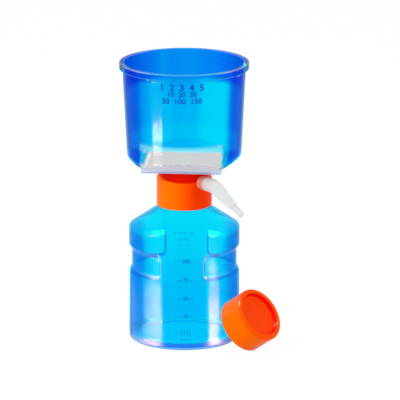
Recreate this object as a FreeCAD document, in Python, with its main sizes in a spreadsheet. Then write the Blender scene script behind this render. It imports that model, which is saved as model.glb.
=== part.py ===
import FreeCAD, Part
import math
import os
import re
import Sketcher
from FreeCAD import Placement, Rotation, Vector

# Vacuum filtration unit: a clear funnel on a square filter tray, a screw collar with a side
# vacuum stub, a bottle with hand grips, and the bottle's own cap leaning against its wall.
# +Z is up, the origin is the centre of the bottle's standing face, the front is towards -Y.
# All sizes are in millimetres and degrees.

SIZES = [
    # bottle
    ("bottle_radius", 45.0, "outside of the bottle's body"),
    ("bottle_wall", 1.3, "wall of the body"),
    ("cone_wall", 1.6, "wall of the cone shoulder, measured upright"),
    ("bottle_floor", 1.8, "thickness of the base"),
    ("shoulder_height", 90.8, "height where the body turns into the cone shoulder"),
    ("shoulder_round", 6.0, "rounding of that turn"),
    ("cone_top_radius", 22.8, "radius at the top of the cone"),
    ("cone_top_height", 107.8, "height of the top of the cone"),
    ("neck_ring", 2.1, "height of the plain ring above the cone"),
    ("heel_round", 3.0, "rounding between wall and base"),
    ("standing_radius", 30.0, "inner edge of the standing ring"),
    ("pushup_run", 5.0, "how far the base's dished step leans in"),
    ("pushup_rise", 2.6, "how far the middle of the base is raised"),
    # hand grips, one on each side of the bottle
    ("grip_drop", 11.5, "straight wall between the shoulder's turn and the grip"),
    ("grip_height", 22.4, "grip from its lower to its upper edge"),
    ("grip_depth", 2.3, "depth of the grip's floor"),
    ("grip_ledge", 3.8, "height of the grip's sloping edges"),
    ("grip_sweep", 135.4, "angle that one grip covers"),
    ("grip_turn", -2.4, "turn of both grips about the bottle's axis"),
    ("grip_round", 1.0, "rounding of the grip's edges"),
    # neck and thread, shared by bottle, collar and cap
    ("neck_radius", 19.0, "outside of the neck between the thread's turns"),
    ("neck_bore", 17.0, "inside of the neck"),
    ("neck_height", 17.6, "neck above the plain ring"),
    ("thread_pitch", 6.0, "rise in one turn"),
    ("thread_depth", 1.4, "height of the thread's ridge"),
    ("thread_foot", 2.6, "width of the ridge at its foot"),
    ("thread_crest", 1.3, "width of the ridge at its crest"),
    ("thread_play", 0.4, "clearance between crest and facing wall"),
    ("thread_start", 5.2, "height of the neck thread's start above the plain ring"),
    ("neck_lead", 20.0, "angle where the neck thread starts"),
    ("neck_turns", 1.5, "turns of thread on the neck"),
    ("female_turns", 1.2, "turns of thread in collar and cap"),
    ("female_lead", 60.0, "angle by which the collar's thread starts later"),
    # collar
    ("collar_radius", 22.5, "outside of the collar's skirt"),
    ("collar_gap", 1.3, "gap between the bottle's plain ring and the collar"),
    ("skirt_height", 24.1, "height of the skirt"),
    ("band_step", 1.2, "how far the upper band stands back from the skirt"),
    ("band_height", 9.2, "height of the upper band"),
    ("chamber_radius", 19.2, "inside of the collar above its shelf"),
    ("shelf_thickness", 1.8, "shelf that presses on the seal"),
    ("shelf_bore", 10.0, "opening in the shelf for drain spout and air"),
    ("collar_round", 0.9, "rounding of the collar's edges"),
    # seal
    ("seal_thickness", 1.5, "thickness of the seal ring"),
    ("seal_play", 0.4, "gap round the seal ring"),
    # vacuum stub
    ("stub_azimuth", -52.0, "direction of the stub, from +X"),
    ("stub_height", 3.2, "height of the stub's axis above the collar's shelf"),
    ("stub_radius", 4.5, "outside of the stub"),
    ("stub_bore", 2.2, "air way through the stub"),
    ("stub_length", 7.5, "stub outside the skirt"),
    # hose connector
    ("fit_play", 0.05, "running clearance between stub and connector"),
    ("barrel_gap", 0.5, "gap between collar and connector"),
    ("barrel_radius", 5.7, "outside of the connector's barrel and bend"),
    ("barrel_length", 13.0, "straight barrel up to the bend"),
    ("bend_radius", 8.0, "centre-line radius of the bend"),
    ("bend_angle", 45.0, "angle of the bend"),
    ("arm_length", 19.6, "tapering arm"),
    ("arm_end_radius", 3.5, "outside of the arm at its thin end"),
    ("tip_length", 10.5, "plain tip for a hose"),
    ("tip_radius", 2.65, "outside of the tip"),
    ("tip_lead", 0.7, "lead-in slope at the tip's end"),
    ("tip_bore", 1.8, "bore of the tip"),
    ("connector_turn", 25.0, "turn of the arm about the stub, from hanging straight down"),
    # filter tray
    ("tray_half", 32.15, "half of the tray's outside width"),
    ("tray_wall", 1.7, "wall round the tray"),
    ("tray_height", 3.8, "height of the tray"),
    ("tray_floor", 0.9, "floor of the tray"),
    ("tray_turn", -4.5, "turn of the tray about the axis"),
    ("rib_height", 0.5, "drain ribs under the membrane"),
    ("rib_width", 0.8, "width of a drain rib"),
    ("rib_spacing", 2.6, "distance between drain ribs"),
    ("drain_radius", 3.4, "bore of the drain spout"),
    ("drain_wall", 1.3, "wall of the drain spout"),
    ("drain_length", 27.0, "drain spout below the tray"),
    ("hub_depth", 6.8, "hub that plugs into the collar"),
    ("hub_wall", 1.5, "wall of the hub"),
    ("hub_play", 0.05, "clearance round the hub"),
    # membrane
    ("membrane_thickness", 0.2, "thickness of the membrane"),
    ("membrane_margin", 1.2, "gap between membrane and tray wall"),
    # funnel
    ("funnel_top", 81.7, "height of the funnel's rim above the tray"),
    ("funnel_top_radius", 49.9, "outside of the wall just under the rim band"),
    ("funnel_bottom_radius", 46.4, "outside of the wall at its lower end"),
    ("funnel_bottom", 6.0, "height of the wall's lower end above the tray, mid-side"),
    ("funnel_wall", 1.5, "wall of the funnel"),
    ("facet_slope", 23.0, "slope of the four floor facets"),
    ("facet_wall", 1.7, "floor facets, measured upright"),
    ("rim_proud", 2.6, "how far the rim band stands out"),
    ("rim_height", 5.2, "height of the rim band"),
    ("rim_round", 0.7, "rounding of the rim band's edges"),
    ("lug_width", 2.6, "width of a lid lug across the rim band"),
    ("lug_proud", 0.5, "how far a lug stands out from the band"),
    ("lug_drop", 1.0, "how far a lug hangs below the band"),
    ("lug_azimuth", 33.0, "direction of the first lug, from the front"),
    ("lug_count", 4, "lugs round the rim"),
    # cap
    ("cap_height", 22.5, "height of the cap"),
    ("cap_skin", 1.8, "top plate of the cap"),
    ("dish_radius", 18.7, "round dish in the cap's top"),
    ("dish_depth", 3.6, "depth of that dish"),
    ("dish_round", 1.0, "rounding of the dish's foot"),
    ("cap_round", 1.6, "rounding of the cap's top edge"),
    ("plug_play", 0.5, "gap between sealing ring and neck bore"),
    ("plug_wall", 1.1, "sealing ring under the cap's top"),
    ("plug_depth", 2.5, "height of that ring"),
    ("cap_azimuth", -36.4, "direction of the leaning cap from the bottle"),
    ("cap_tilt", 34.8, "elevation of the cap's axis"),
    ("lean_gap", 0.05, "hair's breadth between the leaning cap and the bottle"),
]

doc = FreeCAD.newDocument("VacuumFiltrationUnit")
sheet = doc.addObject("Spreadsheet::Sheet", "Sizes")
ALIASES = [alias for alias, value, note in SIZES]
for row, (alias, value, note) in enumerate(SIZES, start=1):
    sheet.set("A%d" % row, note)
    sheet.set("B%d" % row, str(value))
    sheet.setAlias("B%d" % row, alias)
doc.recompute()

ORIGIN = Vector(0, 0, 0)
X_AXIS = Vector(1, 0, 0)
Y_AXIS = Vector(0, 1, 0)
Z_AXIS = Vector(0, 0, 1)
UPRIGHT = Placement(ORIGIN, Rotation(X_AXIS, 90))     # sketch plane standing in XZ
NEAR = 0.01                                           # how close an edge is to the one asked for
ROUNDING_SHARE = 0.45                                 # most of a step that its two roundings take
FIXED = {"overcut": "1.0"}                            # tools reach this far past what they cut

# Heights and radii that several pieces share, as formulas on the sheet.
GRIP_TOP = "shoulder_height - grip_drop"
GRIP_BOTTOM = GRIP_TOP + " - grip_height"
RING_TOP = "cone_top_height + neck_ring"
NECK_TOP = RING_TOP + " + neck_height"
COLLAR_BOTTOM = RING_TOP + " + collar_gap"
SKIRT_TOP = COLLAR_BOTTOM + " + skirt_height"
COLLAR_TOP = SKIRT_TOP + " + band_height"
SHELF_BOTTOM = NECK_TOP + " + seal_thickness"
SHELF_TOP = SHELF_BOTTOM + " + shelf_thickness"
STUB_AXIS = SHELF_TOP + " + stub_height"
TRAY_TOP = COLLAR_TOP + " + tray_height"
WALL_BOTTOM = TRAY_TOP + " + funnel_bottom"
FUNNEL_TOP = TRAY_TOP + " + funnel_top"
FEMALE_BORE = "neck_radius + thread_depth + thread_play"
CONE_SLOPE = "(cone_top_height - shoulder_height) / (bottle_radius - cone_top_radius)"


def size(alias):
    """The number behind one alias of the sheet."""
    return float(sheet.get(alias))


def formula(text):
    """Put the sheet's name in front of every alias in a formula."""
    def named(word):
        text = word.group()
        return "Sizes." + text if text in ALIASES else FIXED.get(text, text)
    return re.sub(r"[a-z_]+", named, text)


def bind(thing, **formulas):
    """Tie properties of an object to formulas on the sheet."""
    for name, text in formulas.items():
        thing.setExpression(name.replace("__", "."), formula(text))
    return thing


def pin_coordinate(sketch, corner, kind, text, guess):
    """Hold one coordinate of a sketch corner at a formula, or on the axis where it is 0."""
    if text == "0":
        axis = -2 if kind == "DistanceX" else -1
        sketch.addConstraint(Sketcher.Constraint("PointOnObject", corner, 1, axis))
        return
    index = sketch.addConstraint(Sketcher.Constraint(kind, -1, 1, corner, 1, guess))
    sketch.setExpression("Constraints[%d]" % index, formula(text))


def outline(name, corners, turn=0.0):
    """Closed outline standing in the XZ plane, its corners given as (radius, height) formulas."""
    sketch = doc.addObject("Sketcher::SketchObject", name)
    sketch.Placement = Placement(ORIGIN, Rotation(Z_AXIS, turn)).multiply(UPRIGHT)
    count = len(corners)
    guesses = [Vector(20 + 9 * math.cos(step * math.tau / count),
                      20 + 9 * math.sin(step * math.tau / count), 0) for step in range(count)]
    for index in range(count):
        sketch.addGeometry(Part.LineSegment(guesses[index], guesses[(index + 1) % count]))
    for index in range(count):
        sketch.addConstraint(Sketcher.Constraint("Coincident", index, 2, (index + 1) % count, 1))
    for index, (radius, height) in enumerate(corners):
        pin_coordinate(sketch, index, "DistanceX", radius, guesses[index].x)
        pin_coordinate(sketch, index, "DistanceY", height, guesses[index].y)
    return sketch


def turned(name, corners, sweep=None, turn=0.0):
    """Solid of revolution about Z; with a sweep it covers that angle, centred on the turn."""
    ring = doc.addObject("Part::Revolution", name)
    ring.Source = outline(name + "_outline", corners, turn)
    ring.Axis = Z_AXIS
    ring.Base = ORIGIN
    ring.Solid = True
    if sweep:
        ring.Symmetric = True
        bind(ring, Angle=sweep)
    return ring


def cylinder(name, radius, height, bottom="0"):
    """Upright cylinder on the axis."""
    rod = doc.addObject("Part::Cylinder", name)
    return bind(rod, Radius=radius, Height=height, Placement__Base__z=bottom)


def joined(name, pieces):
    """Union of several solids."""
    whole = doc.addObject("Part::MultiFuse", name)
    whole.Shapes = pieces
    return whole


def less(name, base, tool):
    """Base with the tool cut away."""
    rest = doc.addObject("Part::Cut", name)
    rest.Base = base
    rest.Tool = tool
    return rest


def shared(name, first, second):
    """The space that two solids share."""
    part = doc.addObject("Part::Common", name)
    part.Base = first
    part.Tool = second
    return part


def value(text):
    """Number that a formula on the sheet comes to."""
    total = sheet.evalExpression(formula(text).replace("Sizes.", ""))
    return float(getattr(total, "Value", total))


def rounded(name, base, rings):
    """Round circular edges, each ring given as formulas (radius, height, rounding)."""
    doc.recompute()
    wanted = [tuple(value(text) for text in ring) for ring in rings]
    found = []
    for index, edge in enumerate(base.Shape.Edges, start=1):
        if not isinstance(edge.Curve, Part.Circle):
            continue
        for radius, height, rounding in wanted:
            across = abs(edge.Curve.Radius - radius)
            along = abs(edge.Curve.Center.z - height)
            if max(across, along) < NEAR:
                found.append((index, rounding, rounding))
    if len(found) < len(rings):
        raise RuntimeError("%s: %d of %d rings found" % (name, len(found), len(rings)))
    return fillet(name, base, found)


def fillet(name, base, edges):
    """Fillet of numbered edges, each given as (number, rounding, rounding)."""
    soft = doc.addObject("Part::Fillet", name)
    soft.Base = base
    soft.Edges = edges
    return soft


def rounded_grips(name, base):
    """Round every edge of the pressed-in grips, as far as their depth has room for it."""
    doc.recompute()
    low = value(GRIP_BOTTOM) - NEAR
    high = value(GRIP_TOP) + NEAR
    rounding = min(size("grip_round"), ROUNDING_SHARE * size("grip_depth"))
    found = []
    for index, edge in enumerate(base.Shape.Edges, start=1):
        middle = edge.valueAt((edge.FirstParameter + edge.LastParameter) / 2)
        heights = [vertex.Z for vertex in edge.Vertexes] + [middle.z]
        if low < min(heights) and max(heights) < high:
            found.append((index, rounding, rounding))
    return fillet(name, base, found)


def helical_ridge(name, foot_radius, crest_radius, start_height, lead, turns):
    """Thread ridge: a trapezium swept along a right-hand helix, its foot sunk in the wall."""
    path = doc.addObject("Part::Helix", name + "_path")
    path.Placement = Placement(ORIGIN, Rotation(Z_AXIS, value(lead)))
    bind(path, Pitch="thread_pitch", Height="thread_pitch * (%s)" % turns,
         Radius="neck_radius", Placement__Base__z=start_height)
    section = outline(name + "_section", [
        (foot_radius, start_height + " - thread_foot / 2"),
        (crest_radius, start_height + " - thread_crest / 2"),
        (crest_radius, start_height + " + thread_crest / 2"),
        (foot_radius, start_height + " + thread_foot / 2")], turn=value(lead))
    doc.recompute()
    ridge = doc.addObject("Part::Sweep", name)
    ridge.Sections = [section]
    ridge.Spine = (path, ["Edge%d" % (n + 1) for n in range(len(path.Shape.Edges))])
    ridge.Solid = True
    ridge.Frenet = True
    return ridge


def box(name, width, depth, height, bottom):
    """Box centred on the axis, standing on a height."""
    block = doc.addObject("Part::Box", name)
    bind(block, Length=width, Width=depth, Height=height)
    bind(block, Placement__Base__x="-(%s) / 2" % width, Placement__Base__y="-(%s) / 2" % depth,
         Placement__Base__z=bottom)
    return block


def square(name, half, height, bottom, turn=0.0):
    """Square block centred on the axis, turned about it."""
    block = doc.addObject("Part::Prism", name)
    block.Polygon = 4
    block.Placement = Placement(ORIGIN, Rotation(Z_AXIS, 45 + turn))
    return bind(block, Circumradius="(%s) * sqrt(2)" % half, Height=height,
                Placement__Base__z=bottom)


def square_hopper(name, bottom, bottom_half, top):
    """Upside-down pyramid stump about the axis: its square grows upwards at the facets' slope."""
    stump = doc.addObject("Part::Wedge", name)
    low_half = "(%s)" % bottom_half
    rise = "((%s) - (%s))" % (top, bottom)
    top_half = "(%s + %s / tan(facet_slope))" % (low_half, rise)
    bind(stump, Xmin="-" + low_half, Xmax=low_half, Zmin="-" + low_half, Zmax=low_half,
         X2min="-" + top_half, X2max=top_half, Z2min="-" + top_half, Z2max=top_half,
         Ymin="0", Ymax=rise, Placement__Base__z=bottom)
    turn = Rotation(Z_AXIS, size("tray_turn"))
    stump.Placement = Placement(ORIGIN, turn.multiply(UPRIGHT.Rotation))
    return stump


def make_bottle():
    """Bottle: dished base, straight body with two grips, cone shoulder, plain ring, threaded neck."""
    blank = turned("bottle_blank", [
        ("0", "pushup_rise"),
        ("standing_radius - pushup_run", "pushup_rise"),
        ("standing_radius", "0"),
        ("bottle_radius", "0"),
        ("bottle_radius", "shoulder_height"),
        ("cone_top_radius", "cone_top_height"),
        ("cone_top_radius", RING_TOP),
        ("neck_radius", RING_TOP),
        ("neck_radius", NECK_TOP),
        ("0", NECK_TOP)])
    soft = rounded("bottle_soft", blank, [
        ("bottle_radius", "0", "heel_round"),
        ("bottle_radius", "shoulder_height", "shoulder_round")])
    outside = rounded_grips("bottle_outside", less(
        "bottle_gripped", soft, grips("grip", "0", "grip_sweep")))
    inner_radius = "bottle_radius - bottle_wall"
    lift = "shoulder_height + bottle_wall * %s - cone_wall" % CONE_SLOPE
    hollow = turned("bottle_hollow", [
        ("0", "pushup_rise + bottle_floor"),
        ("standing_radius - pushup_run", "pushup_rise + bottle_floor"),
        ("standing_radius", "bottle_floor"),
        (inner_radius, "bottle_floor"),
        (inner_radius, lift),
        ("cone_top_radius", "cone_top_height - cone_wall"),
        ("neck_bore", RING_TOP),
        ("neck_bore", NECK_TOP + " + overcut"),
        ("0", NECK_TOP + " + overcut")])
    hollow_soft = rounded("bottle_hollow_soft", hollow, [
        (inner_radius, "bottle_floor", "heel_round - bottle_wall"),
        (inner_radius, lift, "shoulder_round - bottle_wall")])
    wider = "grip_sweep * 1 deg + 2 * atan(bottle_wall / bottle_radius)"
    inside = rounded_grips("bottle_inside", less(
        "bottle_hollow_gripped", hollow_soft, grips("grip_back", "bottle_wall", wider)))
    shell = less("bottle_shell", outside, inside)
    thread = helical_ridge("neck_thread", "neck_radius - thread_depth / 4",
                           "neck_radius + thread_depth", RING_TOP + " + thread_start",
                           "neck_lead", "neck_turns")
    return joined("bottle_whole", [shell, thread])


def grips(name, inset, sweep):
    """Two ring sections with sloping ledges that press the grips into the bottle's sides."""
    floor = "bottle_radius - grip_depth - %s" % inset
    brim = "bottle_radius + grip_depth - %s" % inset
    section = [(floor, GRIP_BOTTOM + " + grip_ledge"), (floor, GRIP_TOP + " - grip_ledge"),
               (brim, GRIP_TOP + " + grip_ledge"), (brim, GRIP_BOTTOM + " - grip_ledge")]
    turn = size("grip_turn")
    right = turned(name + "_right", section, sweep, turn)
    left = turned(name + "_left", section, sweep, turn + 180)
    return joined(name + "s", [right, left])


def make_collar():
    """Screw collar: threaded skirt, shelf over the seal, chamber above it and a side stub."""
    inner_band = "collar_radius - band_step"
    blank = turned("collar_blank", [
        (FEMALE_BORE, COLLAR_BOTTOM),
        ("collar_radius", COLLAR_BOTTOM),
        ("collar_radius", SKIRT_TOP),
        (inner_band, SKIRT_TOP),
        (inner_band, COLLAR_TOP),
        ("chamber_radius", COLLAR_TOP),
        ("chamber_radius", SHELF_TOP),
        ("shelf_bore", SHELF_TOP),
        ("shelf_bore", SHELF_BOTTOM),
        (FEMALE_BORE, SHELF_BOTTOM)])
    soft = rounded("collar_soft", blank, [
        ("collar_radius", COLLAR_BOTTOM, "collar_round"),
        ("collar_radius", SKIRT_TOP, "collar_round")])
    thread = female_thread("collar_thread", RING_TOP, "0")
    stub = radial_rod("stub", "stub_radius", "chamber_radius + band_step / 2",
                      "collar_radius + stub_length")
    body = joined("collar_body", [soft, thread, stub])
    bore = radial_rod("stub_airway", "stub_bore", "chamber_radius - overcut * 2",
                      "collar_radius + stub_length + overcut")
    return less("collar_whole", body, bore)


def female_thread(name, ring_top, extra_lead):
    """Thread ridge inside a collar or cap, half a turn's rise below the neck's ridge."""
    start = ring_top + " + thread_start + thread_pitch * (female_lead / 360 - 0.5)"
    return helical_ridge(name, FEMALE_BORE + " + thread_depth / 4", "neck_radius + thread_play",
                         start, "neck_lead + female_lead + " + extra_lead, "female_turns")


def radial_rod(name, radius, start, end):
    """Cylinder along the stub's direction, between two distances from the object's axis."""
    rod = doc.addObject("Part::Cylinder", name)
    rod.Placement = Placement(ORIGIN, stub_frame().multiply(Rotation(Y_AXIS, 90)))
    return bind(rod, Radius=radius, Height="(%s) - (%s)" % (end, start),
                Placement__Base__x="(%s) * cos(stub_azimuth)" % start,
                Placement__Base__y="(%s) * sin(stub_azimuth)" % start,
                Placement__Base__z=STUB_AXIS)


def stub_frame():
    """Rotation that takes +X to the stub's outward direction."""
    return Rotation(Z_AXIS, size("stub_azimuth"))


def make_seal():
    """Flat rubber ring lying on the bottle's mouth, under the collar's shelf."""
    outer = FEMALE_BORE + " - seal_play"
    return turned("seal_ring", [
        ("neck_bore + seal_play", NECK_TOP),
        (outer, NECK_TOP),
        (outer, SHELF_BOTTOM),
        ("neck_bore + seal_play", SHELF_BOTTOM)])


def elbow(name, radius, start, thin_end=None, tip=None):
    """Rod along +X from start, round the bend and down the arm, in the connector's own frame."""
    bend_x = "(collar_radius + barrel_gap + barrel_length)"
    barrel = doc.addObject("Part::Cylinder", name + "_barrel")
    barrel.Placement = Placement(ORIGIN, Rotation(Y_AXIS, 90))
    bind(barrel, Radius=radius, Height="%s - (%s)" % (bend_x, start), Placement__Base__x=start)
    bend = doc.addObject("Part::Torus", name + "_bend")
    bend.Placement = Placement(ORIGIN, Rotation(Z_AXIS, X_AXIS, Y_AXIS, "ZXY"))
    bind(bend, Radius1="bend_radius", Radius2=radius, Angle3="bend_angle",
         Placement__Base__x=bend_x, Placement__Base__z="-bend_radius")
    arm = doc.addObject("Part::Cone", name + "_arm")
    bind(arm, Radius1=radius, Radius2=thin_end or radius, Height="arm_length")
    end = doc.addObject("Part::Cylinder", name + "_tip")
    bind(end, Radius=tip or radius, Height="tip_length - tip_lead")
    lead = doc.addObject("Part::Cone", name + "_lead")
    bind(lead, Radius1=tip or radius, Radius2=tip + " - tip_lead / 2" if tip else radius,
         Height="tip_lead" if tip else "tip_lead + overcut")
    lead_start = "arm_length + tip_length - tip_lead"
    for piece, along in ((arm, "0"), (end, "arm_length"), (lead, lead_start)):
        piece.Placement = Placement(ORIGIN, Rotation(Y_AXIS, 90 + size("bend_angle")))
        bind(piece,
             Placement__Base__x="%s + bend_radius * sin(bend_angle) + (%s) * cos(bend_angle)"
             % (bend_x, along),
             Placement__Base__z="-bend_radius * (1 - cos(bend_angle)) - (%s) * sin(bend_angle)"
             % along)
    return joined(name, [barrel, bend, arm, end, lead])


def make_connector():
    """Angled hose connector: a socket that turns on the stub, a bend, a tapering arm and a tip."""
    outside = elbow("connector_outside", "barrel_radius", "collar_radius + barrel_gap",
                    "arm_end_radius", "tip_radius")
    socket = doc.addObject("Part::Cylinder", "connector_socket")
    socket.Placement = Placement(ORIGIN, Rotation(Y_AXIS, 90))
    bind(socket, Radius="stub_radius + fit_play", Height="stub_length + overcut",
         Placement__Base__x="collar_radius + barrel_gap - overcut / 2")
    airway = elbow("connector_airway", "tip_bore", "collar_radius + stub_length")
    hollow = joined("connector_hollow", [socket, airway])
    whole = less("connector_whole", outside, hollow)
    turn = stub_frame().multiply(Rotation(X_AXIS, size("connector_turn")))
    whole.Placement = Placement(ORIGIN, turn)
    return bind(whole, Placement__Base__z=STUB_AXIS)


def make_filter_base():
    """Square tray with drain ribs, a hub that plugs into the collar, and a drain spout."""
    inner_half = "tray_half - tray_wall"
    span = "2 * (%s)" % inner_half
    tray = less("tray", square("tray_block", "tray_half", "tray_height", COLLAR_TOP),
                square("tray_space", inner_half, "tray_height", COLLAR_TOP + " + tray_floor"))
    hub_radius = "chamber_radius - hub_play"
    hub = turned("hub", [
        (hub_radius + " - hub_wall", COLLAR_TOP + " - hub_depth"),
        (hub_radius, COLLAR_TOP + " - hub_depth"),
        (hub_radius, COLLAR_TOP + " + tray_floor / 2"),
        (hub_radius + " - hub_wall", COLLAR_TOP + " + tray_floor / 2")])
    spout = cylinder("spout", "drain_radius + drain_wall", "drain_length + tray_floor / 2",
                     COLLAR_TOP + " - drain_length")
    solid = joined("base_solid", [tray, hub, spout] + drain_ribs(span))
    drain = cylinder("drain", "drain_radius", "drain_length + tray_height + overcut",
                     COLLAR_TOP + " - drain_length - overcut")
    channel = box("drain_channel", "2 * drain_radius", span, "rib_height + overcut",
                  COLLAR_TOP + " + tray_floor")
    open_base = less("base_open", solid, joined("base_cuts", [drain, channel]))
    open_base.Placement = Placement(ORIGIN, Rotation(Z_AXIS, size("tray_turn")))
    return open_base


def drain_ribs(span):
    """Low straight ribs across the tray that hold the membrane off the floor."""
    reach = size("tray_half") - size("tray_wall") - size("rib_width")
    steps = int(reach // size("rib_spacing"))
    ribs = []
    for step in range(-steps, steps + 1):
        rib = box("rib_%d" % (step + steps), span, "rib_width", "rib_height * 1.5",
                  COLLAR_TOP + " + tray_floor - rib_height / 2")
        bind(rib, Placement__Base__y="%d * rib_spacing - rib_width / 2" % step)
        ribs.append(rib)
    return ribs


def make_membrane():
    """Thin square filter sheet lying on the drain ribs."""
    return square("membrane_sheet", "tray_half - tray_wall - membrane_margin",
                  "membrane_thickness", COLLAR_TOP + " + tray_floor + rib_height",
                  size("tray_turn"))


def make_funnel():
    """Open round cup whose floor is four flat facets that fall to a square opening."""
    rim_radius = "funnel_top_radius + rim_proud"
    rim_bottom = FUNNEL_TOP + " - rim_height"
    blank = turned("funnel_blank", [
        ("0", TRAY_TOP),
        ("funnel_bottom_radius", TRAY_TOP),
        ("funnel_bottom_radius", WALL_BOTTOM),
        ("funnel_top_radius", rim_bottom),
        (rim_radius, rim_bottom),
        (rim_radius, FUNNEL_TOP),
        ("0", FUNNEL_TOP)])
    soft = rounded("funnel_soft", blank, [
        (rim_radius, rim_bottom, "rim_round"),
        (rim_radius, FUNNEL_TOP, "rim_round")])
    outside = shared("funnel_outside", soft, square_hopper(
        "funnel_hopper", TRAY_TOP, "tray_half", FUNNEL_TOP + " + overcut"))
    hollow = turned("funnel_hollow", [
        ("0", TRAY_TOP + " - overcut"),
        ("funnel_bottom_radius - funnel_wall", TRAY_TOP + " - overcut"),
        ("funnel_bottom_radius - funnel_wall", WALL_BOTTOM),
        ("funnel_top_radius - funnel_wall", rim_bottom),
        ("funnel_top_radius - funnel_wall", FUNNEL_TOP + " + overcut"),
        ("0", FUNNEL_TOP + " + overcut")])
    opening_half = "tray_half - tray_wall"
    mouth_bottom = TRAY_TOP + " + facet_wall - tray_wall * tan(facet_slope)"
    hopper = square_hopper("funnel_inner_hopper", mouth_bottom, opening_half,
                           FUNNEL_TOP + " + overcut")
    opening = square("funnel_opening", opening_half, "facet_wall + overcut",
                     TRAY_TOP + " - overcut", size("tray_turn"))
    inside = shared("funnel_inside", hollow, joined("funnel_funnel", [hopper, opening]))
    cup = less("funnel_cup", outside, inside)
    return joined("funnel_whole", [cup] + lid_lugs())


def lid_lugs():
    """Small upright lugs across the rim band, evenly spaced, for a push-on lid."""
    lugs = []
    for step in range(int(size("lug_count"))):
        lug = doc.addObject("Part::Box", "lug_%d" % (step + 1))
        angle = "(%d * 360 / lug_count - 90 - lug_azimuth)" % step
        rotation = Rotation(Z_AXIS, value(angle))
        lug.Placement = Placement(ORIGIN, rotation)
        inner = "(funnel_top_radius - funnel_wall / 2)"
        bind(lug, Width="lug_width", Height="rim_height - rim_round + lug_drop",
             Length="funnel_top_radius + rim_proud + lug_proud - " + inner)
        bind(lug,
             Placement__Base__x="%s * cos%s + lug_width / 2 * sin%s" % (inner, angle, angle),
             Placement__Base__y="%s * sin%s - lug_width / 2 * cos%s" % (inner, angle, angle),
             Placement__Base__z=FUNNEL_TOP + " - rim_height - lug_drop")
        lugs.append(lug)
    return lugs


def make_cap():
    """Bottle cap: threaded skirt, dished top, sealing ring under it; it leans on the bottle."""
    ceiling = "(cap_height - dish_depth - cap_skin)"
    dish_floor = "cap_height - dish_depth"
    plug_radius = "neck_bore - plug_play"
    blank = turned("cap_blank", [
        (FEMALE_BORE, "0"),
        ("collar_radius", "0"),
        ("collar_radius", "cap_height"),
        ("dish_radius", "cap_height"),
        ("dish_radius", dish_floor),
        ("0", dish_floor),
        ("0", ceiling),
        (plug_radius + " - plug_wall", ceiling),
        (plug_radius + " - plug_wall", ceiling + " - plug_depth"),
        (plug_radius, ceiling + " - plug_depth"),
        (plug_radius, ceiling),
        (FEMALE_BORE, ceiling)])
    soft = rounded("cap_soft", blank, [
        ("collar_radius", "cap_height", "cap_round"),
        ("dish_radius", "cap_height", "dish_round / 2"),
        ("dish_radius", dish_floor, "dish_round")])
    thread = female_thread("cap_thread", ceiling + " - neck_height", "0")
    whole = joined("cap_whole", [soft, thread])
    lean = Rotation(Z_AXIS, size("cap_azimuth")).multiply(Rotation(Y_AXIS, 90 - size("cap_tilt")))
    whole.Placement = Placement(ORIGIN, lean)
    reach = "(bottle_radius + lean_gap + collar_radius * sin(cap_tilt))"
    return bind(whole, Placement__Base__x=reach + " * cos(cap_azimuth)",
                Placement__Base__y=reach + " * sin(cap_azimuth)",
                Placement__Base__z="collar_radius * cos(cap_tilt)")


def check_and_export(nodes):
    """Stop on anything that failed to build, then write one STEP file for each piece."""
    doc.recompute()
    for thing in doc.Objects:
        if "Invalid" in thing.State or "Error" in thing.State:
            raise RuntimeError("%s did not build: %s" % (thing.Name, thing.State))
    for label, thing in nodes.items():
        thing.Label = label
        if thing.Shape.isNull() or not thing.Shape.isValid():
            raise RuntimeError("%s has no valid shape" % label)
        if len(thing.Shape.Solids) != 1:
            raise RuntimeError("%s is %d solids" % (label, len(thing.Shape.Solids)))
    os.makedirs("parts", exist_ok=True)
    for label, thing in nodes.items():
        thing.Shape.exportStep("parts/%s.step" % label)
        print("%-15s volume %9.1f mm3" % (label, thing.Shape.Volume))


check_and_export({
    "bottle": make_bottle(),
    "neck_seal": make_seal(),
    "collar": make_collar(),
    "hose_connector": make_connector(),
    "filter_base": make_filter_base(),
    "membrane": make_membrane(),
    "funnel": make_funnel(),
    "cap": make_cap(),
})
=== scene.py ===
# Vacuum filtration unit, dressed: a clear blue funnel on a square filter tray, an orange screw
# collar with a milky hose connector, a clear blue bottle with hand grips, and its leaning cap.
# Meshes are worked out in millimetres and stored in metres. The bottle stands on z = 0, the
# front looks towards -Y, and azimuths are degrees from +X, counted towards +Y.

import math

import bpy
import numpy as np
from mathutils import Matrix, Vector


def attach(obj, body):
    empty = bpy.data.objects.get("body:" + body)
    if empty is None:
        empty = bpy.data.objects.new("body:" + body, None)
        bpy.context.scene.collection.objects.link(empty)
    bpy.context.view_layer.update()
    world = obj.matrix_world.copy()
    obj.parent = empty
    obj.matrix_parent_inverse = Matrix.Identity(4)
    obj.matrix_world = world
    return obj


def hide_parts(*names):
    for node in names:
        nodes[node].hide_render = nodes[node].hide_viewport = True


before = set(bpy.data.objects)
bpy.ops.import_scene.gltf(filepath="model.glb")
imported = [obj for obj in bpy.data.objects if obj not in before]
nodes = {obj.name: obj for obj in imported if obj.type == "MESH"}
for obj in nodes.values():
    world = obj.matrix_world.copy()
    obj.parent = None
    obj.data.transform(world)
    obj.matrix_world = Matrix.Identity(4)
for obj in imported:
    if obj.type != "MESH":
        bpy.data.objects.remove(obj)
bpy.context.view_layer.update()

# ---------------------------------------------------------------- sizes, millimetres and degrees

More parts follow.
